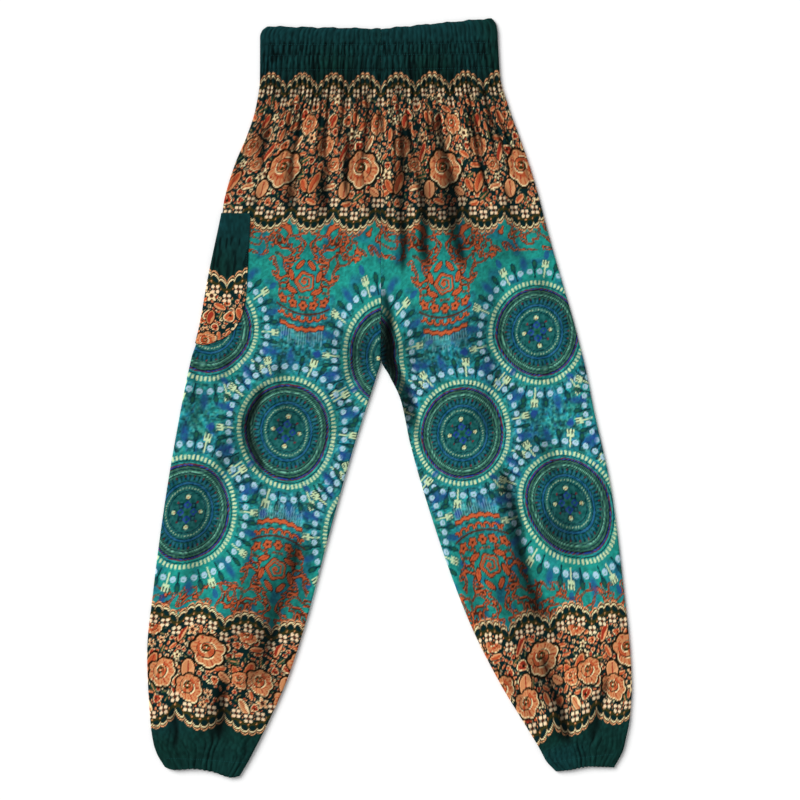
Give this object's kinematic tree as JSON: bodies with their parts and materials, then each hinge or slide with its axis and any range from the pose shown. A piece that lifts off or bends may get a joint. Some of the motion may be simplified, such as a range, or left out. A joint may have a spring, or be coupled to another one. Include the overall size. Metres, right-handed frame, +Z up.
{
  "type": "harem pants",
  "caption": "Loose gathered trousers laid flat: shirred elastic waist, low crotch, full legs drawn in at elastic ankles, and a patch pocket wrapped over one side fold.",
  "frame": {"origin": "centre of the laid outline, on the surface that the garment lies on", "axes": "+Y towards the waist, +X towards the wearer's left leg, +Z up out of the front of the garment"},
  "size_m": [0.6402, 1.0027, 0.0087],
  "materials": {
    "printed_cloth": "matte, fine plain weave, printed"
  },
  "bodies": {
    "root": {"leg_right": "printed_cloth", "leg_left": "printed_cloth", "pocket_right": "printed_cloth"}
  },
  "joints": []
}
